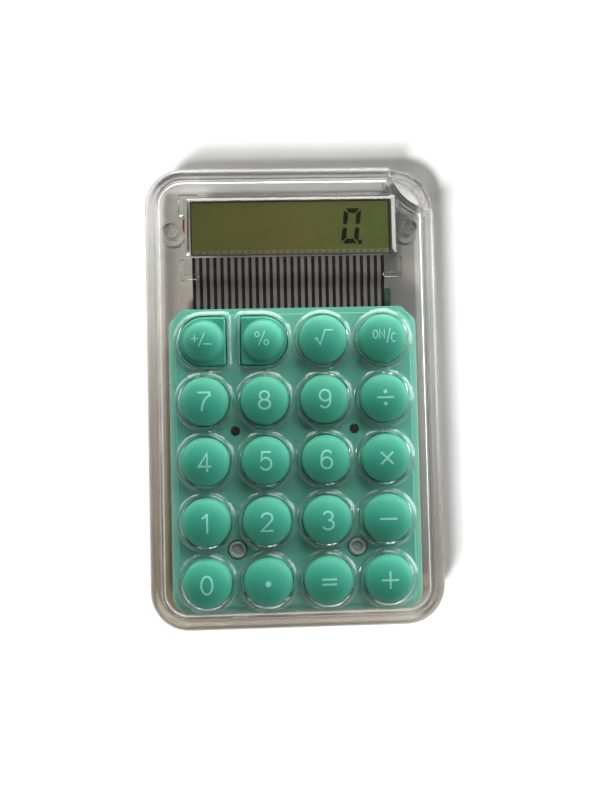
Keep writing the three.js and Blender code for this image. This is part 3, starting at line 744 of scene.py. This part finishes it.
def rear_shell():
    shell = loft(case_outline(), path((2.0, 0), (0, 0, 1.8), (0, PARTING - 0.3), (0.06, PARTING), steps=7))
    cut(shell, inner_solid(TRAY_WALL, path((1.2, TRAY_FLOOR), (0, TRAY_FLOOR, 0.9), (-0.1, PARTING + 1))))
    parts = pair(POST_X, PEG_Y, 2.4, 1, BOARD_LOW[2], 0, 0.15)
    parts += pair(POST_X, BOSS_Y, 3.0, 0.05, 2.9, 0, 0.2)
    parts += pair(*SIDE_PIN, 3.3, 1, 4.6, 0, 0.25)
    parts += [rod(s * REST[0], y, 1.6, 1, BOARD_LOW[2], 0, 0.15) for s in (-1, 1) for y in REST[1]]
    half, front, rear, top = BLOCK
    parts.append(slab(rectangle(-half, front, half, rear, 1.5, 6), 0.05, top, 0, 0.3))
    join(shell, *parts)
    cuts = pair(POST_X, PEG_Y, PEG_HOLE, 4, 8)
    cuts += pair(POST_X, BOSS_Y, HEAD_RECESS, -1, 1.5)
    cuts += pair(POST_X, BOSS_Y, BOSS_BORE, -1, 4)
    cuts += pair(*SIDE_PIN, 1.85, 2.3, 6)
    corner = (HALF_WIDTH - CASE_CORNER, HALF_LENGTH - CASE_CORNER)
    loop = loft(circle(*corner, CASE_CORNER - BAR_WIDTH, 128), path(
        (-1.0, -0.4), (-0.01, 0.35), (0, 0.6), (0, PARTING - 0.6), (-0.15, PARTING - 0.25),
        (-0.6, PARTING + 0.01), (-0.6, PARTING + 3)))
    return cut(shell, *cuts, common(loop, notch_rod(0, -2, 12)), *cell_cuts())


def build_case():
    add_piece(front_shell(), "clear_front_shell", CLEAR_FRONT, ["top_shell"])
    for side, name in ((-1, "left"), (1, "right")):
        add_piece(screw_boss(side), "screw_boss_" + name, FROSTED)
    add_piece(rear_shell(), "clear_rear_shell", CLEAR_BACK, ["bottom_shell"])


# ------------------------ keypad


def dome_profile(radius, bottom, shoulder, top, underside=()):
    """A dome's section, from the middle of its underside round to its top."""
    steps = 22
    points = [*underside] or [(0.02, bottom)]
    points += [(radius - 0.25, bottom), (radius - 0.07, bottom + 0.07), (radius, bottom + 0.25)]
    points += [(radius * cos(a), shoulder + (top - shoulder) * sin(a))
               for a in (pi / 2 * k / steps for k in range(steps))]
    return points + [(0.02, top)]


def crown_profile(radius, shoulder, top):
    """A D key's dome, with a hollow fillet where it runs out onto the base."""
    sweep, fillet_steps, dome_steps = radians(70), 8, 20
    reach = radius + 1.5
    edge = radius * sin(sweep)
    rise = (top - shoulder) * cos(sweep)
    points = [(0.02, KEY_LOW[2] + 1), (reach + 0.1, KEY_LOW[2] + 1), (reach + 0.1, shoulder - 0.12)]
    points += [(edge + (reach - edge) * (1 - sin(a)), shoulder + rise * (1 - cos(a)))
               for a in (pi / 2 * k / fillet_steps for k in range(fillet_steps))]
    points += [(radius * sin(a), shoulder + (top - shoulder) * cos(a))
               for a in (sweep * (1 - k / dome_steps) for k in range(dome_steps))]
    return points + [(0.02, top)]


def key_dome(name):
    """(radius, shoulder, top) of a key's dome."""
    if name in STRAIGHT_SIDE:
        return D_DOME_RADIUS, D_BASE_TOP - 0.15, D_DOME_TOP
    return KEY_RADIUS, KEY_SHOULDER, KEY_HIGH[2] - 0.05


def key_cap(name):
    cx, cy, _ = centre_mm("pill_" + name)
    radius, shoulder, top = key_dome(name)
    if name not in STRAIGHT_SIDE:
        pocket = [(0.02, PILL_TOP), (PILL_POCKET, PILL_TOP), (PILL_POCKET, KEY_LOW[2])]
        return turned(dome_profile(radius, KEY_LOW[2], shoulder, top, pocket), cx, cy, 96)
    base = slab(key_outline(name, D_RADIUS), KEY_LOW[2], D_BASE_TOP, 0.2, 0.35)
    crown = turned(crown_profile(radius, shoulder, top), cx, cy, 96)
    common(crown, slab(key_outline(name, D_RADIUS - 0.3), KEY_LOW[2] + 0.5, 20))
    return cut(join(base, crown), rod(cx, cy, PILL_POCKET, KEY_LOW[2] - 1, PILL_TOP))


def arc(cx, cy, rx, ry, first, last, steps=20):
    return [(cx + rx * cos(radians(first + (last - first) * k / steps)),
             cy + ry * sin(radians(first + (last - first) * k / steps))) for k in range(steps + 1)]


def ring(cx, cy, rx, ry, steps=36):
    return arc(cx, cy, rx, ry, 0, 360, steps)


# A key's legend in millimetres from its middle: strokes as lists of points, and dots as (x, y, radius).
SIX = [ring(0.02, -0.85, 1.33, 1.38), [(-1.31, -0.9), (-1.27, 0.3), *arc(0.12, 0.5, 1.36, 1.72, 172, 38, 12)]]
GLYPHS = {
    "0": [ring(0, 0, 1.38, 2.2)],
    "1": [[(-0.95, 1.25), (-0.2, 1.7), (0.3, 2.35)], [(0.35, 2.45), (0.35, -2.45)]],
    "2": [[*arc(0.0, 1.0, 1.33, 1.2, 172, -38, 16), (-1.4, -2.2), (1.5, -2.2)]],
    "3": [arc(0.0, 1.12, 1.15, 1.08, 160, -85, 16), arc(0.0, -1.02, 1.38, 1.18, 88, -160, 18)],
    "4": [[(0.6, -2.45), (0.6, 2.2), (-1.5, -1.05), (1.6, -1.05)]],
    "5": [[(1.3, 2.2), (-0.85, 2.2), (-1.2, 0.0), *arc(-0.02, -0.72, 1.4, 1.48, 140, -152, 20)]],
    "6": SIX,
    "7": [[(-1.5, 2.2), (1.45, 2.2), *arc(2.9, -2.45, 3.35, 4.3, 112, 180, 12)]],
    "8": [ring(0, 1.15, 1.14, 1.06), ring(0, -1.05, 1.38, 1.16)],
    "9": [[(-x, -y) for x, y in part] for part in SIX],
    "plus": [[(-2.15, 0), (2.15, 0)], [(0, -2.15), (0, 2.15)]],
    "minus": [[(-2.15, 0), (2.15, 0)]],
    "equals": [[(-1.85, 0.62), (1.85, 0.62)], [(-1.85, -0.62), (1.85, -0.62)]],
    "multiply": [[(-1.55, 1.55), (1.55, -1.55)], [(-1.55, -1.55), (1.55, 1.55)]],
    "divide": [[(-2.1, 0), (2.1, 0)], (0, 1.5, 0.5), (0, -1.55, 0.5)],
    "point": [(0, -0.1, 0.72)],
    "root": [[(-2.3, -0.35), (-1.7, 0.1), (-0.9, -1.6), (0.35, 2.1), (2.4, 2.1)]],
    "percent": [ring(-1.5, 1.35, 0.55, 0.62, 24), ring(0.75, -0.72, 0.55, 0.62, 24),
                [(-1.2, -1.5), (0.45, 2.15)]],
    "sign": [[(-2.9, 0.55), (-1.1, 0.55)], [(-2.0, -0.4), (-2.0, 1.5)], [(-1.0, -1.45), (0.5, 1.9)],
             [(0.1, -0.85), (2.2, -0.85)]],
    "on_clear": [ring(-2.1, 0.8, 0.55, 1.02, 24), [(-1.05, -0.3), (-1.05, 1.9), (0.15, -0.25), (0.15, 1.95)],
                 [(0.75, -1.45), (1.65, 2.3)], arc(2.55, -0.05, 0.6, 1.1, 48, 312, 16)],
}
THIN = {"root": 0.36, "percent": 0.3, "sign": 0.3, "on_clear": 0.33}
LEGEND_WIDTH = 0.5
INK = 0.03               # height of the printed legend


def legend(name):
    """A key's printed legend: its strokes, cut out of a thin skin of ink over the dome."""
    cx, cy, _ = centre_mm("pill_" + name)
    radius, shoulder, top = key_dome(name)
    z0, z1 = shoulder - 1, top + 1
    strokes = []
    for part in GLYPHS[name]:
        if isinstance(part, tuple):
            x, y, size = part
            strokes.append(rod(cx + x, cy + y, size, z0, z1, count=32))
            continue
        closed = dist(part[0], part[-1]) < 1e-6
        points = [(cx + x, cy + y) for x, y in (part[:-1] if closed else part)]
        strokes.append(stroke(points, THIN.get(name, LEGEND_WIDTH), z0, z1, closed))
    skin = turned(dome_profile(radius + INK, shoulder - 0.5, shoulder, top + INK), cx, cy, 96)
    core = turned(dome_profile(radius - GAP, shoulder - 1.5, shoulder, top - GAP), cx, cy, 96)
    return common(cut(skin, core), join_all(strokes))


def build_keys():
    for name in KEY_NAMES:
        body = "button_" + name
        add_piece(key_cap(name), "key_cap_" + name, KEY_MINT, ["key_" + name], body)
        add_piece(legend(name), "legend_" + name, LEGEND, (), body, 40.0)


def mat_outline(inset=0.0):
    x, front, rear = MAT_HIGH[0] - inset, MAT_LOW[1] + inset, MAT_HIGH[1] - inset
    chamfer = 3.6
    corners = [(-x, front), (x, front), (x, rear - chamfer), (x - chamfer, rear), (-x + chamfer, rear),
               (-x, rear - chamfer)]
    return rounded(corners, [4.5, 4.5, 2.5, 2.5, 2.5, 2.5], 8)


def key_mat():
    edge, bottom, top = 1.5, MAT_LOW[2], MAT_HIGH[2]
    mat = loft(mat_outline(), path(
        (0.3, bottom + 0.01), (0, bottom + 0.01, 0.15), (0, bottom + 0.7, 0.2), (edge, bottom + 0.75, 0.1),
        (edge + 0.1, top, 0.25), (edge + 0.9, top)))
    web = bottom + 0.03
    cuts = [loft(key_outline(name, HOLE_RADIUS - 0.12), [(0, web), (0, top + 1)]) for name in KEY_NAMES]
    cuts += [rod(*centre_mm("pill_" + name)[:2], PILL_POCKET, bottom - 1, top) for name in KEY_NAMES]
    cuts += pair(POST_X, PEG_Y, PEG_HOLE + 0.05, 5, 9)
    cuts += pair(POST_X, BOSS_Y, BOSS_HOLE, 5, 9)
    cuts.append(block(RIBBON_LOW[0] - 0.3, RIBBON_LOW[1] - 0.3, 5, RIBBON_HIGH[0] + 0.3, MAT_HIGH[1] + 1,
                      bottom + 0.5))
    return cut(mat, *cuts)


def build_keypad():
    add_piece(key_mat(), "silicone_mat", MAT_MINT, ["keypad_mat"])
    build_keys()


# ------------------------ board


def board():
    z0, z1 = BOARD_LOW[2], BOARD_HIGH[2] - 0.01
    plate = loft(mat_outline(1.0), [(0, z0), (0, z1)])
    tongue = block(BOARD_LOW[0] + 5.9, MAT_HIGH[1] - 2, z0, BOARD_HIGH[0] - 5.1, BOARD_HIGH[1], z1, 0.4)
    cuts = pair(POST_X, PEG_Y, PEG_HOLE, 4, 8) + pair(POST_X, BOSS_Y, BOSS_HOLE, 4, 8)
    return cut(join(plate, tongue), *cuts)


def chip_drop():
    low, high = box_mm("chip_cover")
    radius, height, steps = (high[0] - low[0]) / 2, high[2] - low[2], 14
    points = [(0.02, low[2])]
    points += [(radius * sin(a), high[2] - height * cos(a))
               for a in (pi / 2 * k / steps for k in range(1, steps + 1))]
    points.append((0.02, high[2] - 0.01))
    return turned(points, *centre_mm("chip_cover")[:2])


CAP_END = 0.45           # length of the capacitor's metal ends


def capacitor():
    low, high = box_mm("supply_capacitor")
    outline = rectangle(low[0] + CAP_END, low[1] + 0.05, high[0] - CAP_END, high[1] - 0.05, 0.1, 3)
    return slab(outline, low[2], high[2] - 0.1, 0.08, 0.08)


def capacitor_ends():
    low, high = box_mm("supply_capacitor")
    end, top = CAP_END + 0.01, high[2] - GAP
    return join(block(low[0], low[1], low[2], low[0] + end, high[1], top, 0.1, 0.08, 0.05),
                block(high[0] - end, low[1], low[2], high[0], high[1], top, 0.1, 0.08, 0.05))


def build_board():
    add_piece(board(), "printed_board", BOARD, ["circuit_board"])
    add_piece(chip_drop(), "chip_resin", RESIN, ["chip_cover"])
    add_piece(capacitor(), "capacitor_body", CERAMIC, ["supply_capacitor"])
    add_piece(capacitor_ends(), "capacitor_ends", STEEL)


# ------------------------ display

SLANT = tan(radians(6.5))
DIGIT = (15.65, 43.35)   # middle of the last digit
POINT = (17.8, 39.15)    # middle of the decimal point
PRINT = (VIEW_HIGH[2] - 0.05, VIEW_HIGH[2] - 0.01)      # bottom and top of what the view shows
STRIPES = 28
STRIPE_WIDTH = 0.85
STRIPE_PITCH = (RIBBON_HIGH[0] - RIBBON_LOW[0] - STRIPE_WIDTH) / (STRIPES - 1)
STRIPE_LEFT = [RIBBON_LOW[0] + k * STRIPE_PITCH for k in range(STRIPES)]


def sheet(node, radius=0.1, edge=0.0, drop=0.0):
    """A plate or film that fills its node's box, less a gap above and below."""
    low, high = box_mm(node)
    return block(low[0], low[1], low[2] + GAP, high[0], high[1], high[2] - GAP - drop, radius, edge, edge)


def segments():
    """A slanted zero with mitred segments, and the point after it."""
    half_w, half_h, thick, gap = 1.62, 3.95, 1.22, 0.13
    tip, foot, mitre = 0.35, 0.3, 0.45
    wide, narrow = half_w + thick / 2, half_w - thick / 2

    def bar(sign):
        far, near = sign * (half_h + thick / 2), sign * (half_h - thick / 2)
        outer, inner = wide - gap - tip, narrow - gap
        return [(-outer, far), (outer, far), (inner, near), (-inner, near)]

    def upright(side, sign):
        far, near = sign * (half_h + thick / 2 - mitre), sign * (half_h - thick / 2 - gap)
        root = sign * (foot + mitre)
        return [(side * wide, root), (side * half_w, sign * foot), (side * narrow, root),
                (side * narrow, near), (side * wide, far)]

    made = []
    for points in [bar(1), bar(-1)] + [upright(side, sign) for side in (-1, 1) for sign in (1, -1)]:
        flat = [(DIGIT[0] + x + y * SLANT, DIGIT[1] + y) for x, y in points]
        area = sum(x0 * y1 - x1 * y0 for (x0, y0), (x1, y1) in zip(flat, flat[1:] + flat[:1]))
        made.append(flat if area > 0 else flat[::-1])
    half, lean = 0.5, 0.08
    made.append([(POINT[0] + x * half + (lean if y > 0 else 0), POINT[1] + y * half)
                 for x, y in ((-1, -1), (1, -1), (1, 1), (-1, 1))])
    return join_all([loft(lambda inset, flat=flat: flat, [(0, z) for z in PRINT]) for flat in made])


def ribbon_path(lift):
    """The ribbon's middle line from the display's ledge to the board, as (y, z) points."""
    high = REAR_HIGH[2] + 0.14 + lift
    low = BOARD_HIGH[2] + 0.14 + lift
    ledge, tongue = REAR_LOW[1], BOARD_HIGH[1]
    return path((RIBBON_HIGH[1] - 0.05, high), (ledge - 0.6, high, 0.8), (tongue + 0.5, low, 0.8),
                (RIBBON_LOW[1] + 0.05, low), steps=6)


def ribbon_film():
    return bent_sheet(ribbon_path(0.0), 0.2, RIBBON_LOW[0], RIBBON_HIGH[0])


def ribbon_stripes():
    """Carbon tracks printed along the film."""
    return join_all([bent_sheet(ribbon_path(0.115), 0.03, left, left + STRIPE_WIDTH) for left in STRIPE_LEFT])


def contact_dashes():
    """The display's contact pads at the front edge of its view."""
    y, gap = VIEW_LOW[1], 0.1
    return join_all([block(left + gap, y + 0.6, PRINT[0], left + STRIPE_WIDTH - gap, y + 0.95, PRINT[1])
                     for left in STRIPE_LEFT])


def view_edge_shade():
    """A thin dark strip round the polariser's edge: partly its dark edge, partly painted shade for the shadow
    line along the view's edge.
    """
    (x0, y0, _), (x1, y1, high) = VIEW_LOW, VIEW_HIGH
    width, top = 0.32, high - GAP
    return cut(block(x0, y0, top - 0.1, x1, y1, top, 0.1),
               block(x0 + width, y0 + width, top - 1, x1 - width, y1 - width, top + 1, 0.1))


def end_seal():
    low, high = box_mm("lcd_end_seal")
    reach, half = high[0] - low[0], (high[1] - low[1]) / 2
    points = arc(high[0], (low[1] + high[1]) / 2, reach, half, 90, 270, 12)
    return loft(lambda inset: points, [(0, low[2]), (0, high[2])])


def build_display():
    for node, name, look, slot, shape in (
            ("lcd_front_glass", "front_glass", GLASS, "display_glass", (0.15, 0.06)),
            ("lcd_rear_glass", "rear_glass", GLASS, "display_glass", (0.15, 0.06)),
            ("lcd_front_polariser", "view_film", FILM, "polariser", (0.1, 0.0, 0.02)),
            ("lcd_reflector", "reflector_film", REFLECTOR, "reflector", ())):
        add_piece(sheet(node, *shape), name, look, [node])
    add_piece(segments(), "lit_segments", SEGMENT)
    # painted shade: a dark strip along the edge of the display's view
    add_piece(view_edge_shade(), "view_edge_shade", STRIPE)
    add_piece(contact_dashes(), "contact_pads", STRIPE)
    add_piece(end_seal(), "seal_drop", SEAL, ["lcd_end_seal"])
    add_piece(ribbon_film(), "ribbon_film", FILM_GREY, ["display_ribbon"])
    add_piece(ribbon_stripes(), "ribbon_stripes", STRIPE)


# ------------------------ power and fasteners


def screw(node):
    """A pan-head screw with a cross recess and a thread, head down."""
    cx, cy, _ = centre_mm(node)
    low, high = box_mm(node)
    z0, z1 = low[2], high[2]
    head, pitch, tip = 0.9, 0.5, 1.1
    core, slot = SCREW_SHANK - 0.2, 0.2
    points = [(0.02, z0), (SCREW_HEAD - 0.5, z0), (SCREW_HEAD - 0.15, z0 + 0.12), (SCREW_HEAD, z0 + 0.4),
              (SCREW_HEAD, z0 + head), (core + 0.05, z0 + head)]
    z = z0 + head + 0.1
    while z < z1 - tip:
        points += [(core, z), (SCREW_SHANK, z + 0.2), (SCREW_SHANK, z + 0.26), (core, z + 0.46)]
        z += pitch
    points += [(core - 0.02, z1 - 0.6), (0.02, z1)]
    cross = [block(cx - x, cy - y, z0 - 1, cx + x, cy + y, z0 + 0.5) for x, y in ((1.0, slot), (slot, 1.0))]
    return cut(turned(points, cx, cy, 40), *cross)


def cell():
    bottom, top, r = CELL_LOW[2], CELL_HIGH[2], CELL_RADIUS
    points = [(0.02, bottom), (r - 0.5, bottom), (r - 0.12, bottom + 0.1), (r, bottom + 0.4), (r, top - 0.6),
              (r - 0.15, top - 0.42), (r - 0.75, top - 0.35), (r - 0.8, top - 0.3), (r - 0.85, top - 0.08),
              (r - 0.95, top), (0.02, top)]
    return turned(points, 0, CELL_Y, 96)


SPRING = 0.28            # thickness of the contacts' sheet metal
LEAF_Y = (-30.6, -27.0, -25.0)      # where the leaf leaves the housing, meets the cell and lifts at its tip
GRIP_Y = (-31.2, -30.1, -29.0)      # grooves for a fingertip on the door


def leaf_spring():
    low, high = box_mm("cell_contact_negative")
    rest, touch = BLOCK[3] + 0.2, CELL_HIGH[2] + 0.2
    leave, meet, lift = LEAF_Y
    points = path((low[1], rest), (leave, rest, 0.8), (meet, touch, 0.8), (lift, touch, 0.4),
                  (high[1], touch + 0.3))
    return bent_sheet(points, SPRING, low[0], high[0])


def side_blade():
    low, high = box_mm("cell_contact_positive")
    blade, flange = low[0] + 0.15, high[2] - 0.15
    points = path((blade, low[2]), (blade, flange, 0.5), (high[0], flange), steps=6)
    made = bent_sheet(points, SPRING, low[1], high[1])
    made.data.transform(Matrix(((0, 1, 0, 0), (1, 0, 0, 0), (0, 0, 1, 0), (0, 0, 0, 1))))
    return outward(made)


def door():
    half, bottom = DOOR_HIGH[0], DOOR_LOW[2]
    top = bottom + 1.0
    plate = slab(rectangle(-half, HINGE_Y, half, DOOR_HIGH[1], 0.8, 6), bottom, top, 0.15, 0.1)
    tabs = []
    for s in (-1, 1):
        x0, x1 = s * TAB_X, s * (TAB_X + TAB_WIDTH)
        tabs += [block(x0, HINGE_Y - 0.9, top, x1, HINGE_Y + 1.0, top + 0.7, 0.15),
                 block(x0, HINGE_Y + GAP, bottom + 0.2, x1, HINGE_Y + 1.0, top + 0.7, 0.15)]
    join(plate, *tabs, rod(0, DOOR_SCREW_Y, 2.4, bottom + GAP, top + 1.1, 0, 0.1))
    head = rod(0, DOOR_SCREW_Y, SCREW_HEAD + 0.3, -1, 1.4)
    way = rod(0, DOOR_SCREW_Y, SCREW_SHANK + 0.3, -1, 3)
    grips = [block(-4.0, y, -1, 4.0, y + 0.5, bottom + 0.25, 0.2) for y in GRIP_Y]
    return cut(plate, head, way, *grips)


def build_power():
    add_piece(cell(), "coin_cell", STEEL, ["button_cell"])
    add_piece(leaf_spring(), "leaf_contact", STEEL, ["cell_contact_negative"])
    add_piece(side_blade(), "blade_contact", STEEL, ["cell_contact_positive"])
    for side in ("left", "right"):
        node = "case_screw_" + side
        add_piece(screw(node), "rear_screw_" + side, STEEL, [node])
    add_piece(door(), "cell_door", CLEAR_BACK, ["battery_door"], "door")
    node = "battery_door_screw"
    add_piece(screw(node), "door_screw", STEEL, [node], "door")


def dress_pills():
    for name in KEY_NAMES:
        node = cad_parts["pill_" + name]
        node.data.materials.clear()
        node.data.materials.append(CARBON)


# ------------------------ camera, light and floor


def make_camera():
    data = bpy.data.cameras.new("camera")
    data.lens = 38.25
    data.clip_start = 0.01
    camera = bpy.data.objects.new("camera", data)
    scene.collection.objects.link(camera)
    camera.location = Vector((-6.8, -10.2, 225.2)) * MM
    camera.rotation_euler = [radians(a) for a in (2.42, -2.125, -1.33)]
    scene.camera = camera


def add_lamp(name, kind, power, place, colour=(1, 1, 1)):
    """A lamp that shines on the middle of the object."""
    data = bpy.data.lights.new(name, kind)
    data.energy = power
    data.color = colour
    lamp = bpy.data.objects.new(name, data)
    scene.collection.objects.link(lamp)
    lamp.location = place
    lamp.rotation_euler = (-Vector(place)).to_track_quat("-Z", "Y").to_euler()
    return lamp


def soft_box(name, place, size, glow, colour=(1, 1, 1)):
    """A rectangular lamp, as bright as glow (1 is a white sheet in the picture)."""
    lamp = add_lamp(name, "AREA", glow * pi * size[0] * size[1], place, colour)
    lamp.data.shape = "RECTANGLE"
    lamp.data.size, lamp.data.size_y = size
    return lamp


def make_floor():
    side = 20.0
    floor = make_object([(-side, -side, 0), (side, -side, 0), (side, side, 0), (-side, side, 0)],
                        [(0, 1, 2, 3)], "floor")
    look = Look("floor_paper")
    grain = look.noise(40.0, 4.0)
    look.feed("Base Color", look.ramp(grain, (0.3, (0.86, 0.86, 0.86)), (0.7, (0.9, 0.9, 0.9))))
    look.set(Roughness=0.9, Specular_IOR_Level=0.1)
    floor.data.materials.append(look.material)
    floor.location.z = -0.05 * MM      # just under the calculator's back
    return floor


def make_world():
    """A plain studio, pale at the horizon and dark overhead."""
    world = bpy.data.worlds.new("studio")
    scene.world = world
    world.use_nodes = True
    tree = world.node_tree
    place = tree.nodes.new("ShaderNodeTexCoord").outputs["Generated"]
    split = tree.nodes.new("ShaderNodeSeparateXYZ")
    tree.links.new(place, split.inputs["Vector"])
    ramp = tree.nodes.new("ShaderNodeValToRGB")
    elements = ramp.color_ramp.elements
    elements[0].color = (1.1, 1.1, 1.1, 1)
    elements[-1].color = (0.03, 0.03, 0.03, 1)
    for height, level in ((0.2, 0.9), (0.45, 0.35), (0.7, 0.1)):
        elements.new(height).color = (level, level, level * 0.99, 1)
    tree.links.new(split.outputs["Z"], ramp.inputs["Fac"])
    tree.links.new(ramp.outputs["Color"], tree.nodes["Background"].inputs["Color"])


def make_stage():
    """The floor has a lamp of its own, so that its shadow is soft while the keys are shaded from above."""
    floor = make_floor()
    make_world()
    sun = add_lamp("floor_lamp", "SUN", 4.9, (-0.70, -0.95, 1.0))
    sun.data.angle = radians(12)
    only = bpy.data.collections.new("floor_only")
    only.objects.link(floor)
    sun.light_linking.receiver_collection = only
    rest = bpy.data.collections.new("all_but_floor")
    rest.objects.link(floor)
    rest.collection_objects[0].light_linking.link_state = "EXCLUDE"
    warm = (1.0, 0.96, 0.90)
    for lamp in (soft_box("window_light", (0.0, 0.75, 0.15), (1.1, 0.28), 9.0, warm),
                 soft_box("right_light", (0.72, 0.25, 0.18), (0.6, 0.34), 8.0),
                 soft_box("left_light", (-0.62, 0.42, 0.09), (0.45, 0.16), 5.5),
                 soft_box("low_left_light", (-0.48, -0.55, 0.12), (0.8, 0.22), 0.6, warm),
                 soft_box("low_right_light", (0.45, -0.6, 0.12), (0.3, 0.2), 1.6, warm),
                 soft_box("high_light", (0.16, 0.42, 0.36), (0.30, 0.16), 7.2)):
        lamp.light_linking.receiver_collection = rest
    scene.view_settings.view_transform = "Standard"


make_camera()
build_case()
build_keypad()
build_board()
build_display()
build_power()
dress_pills()
make_stage()
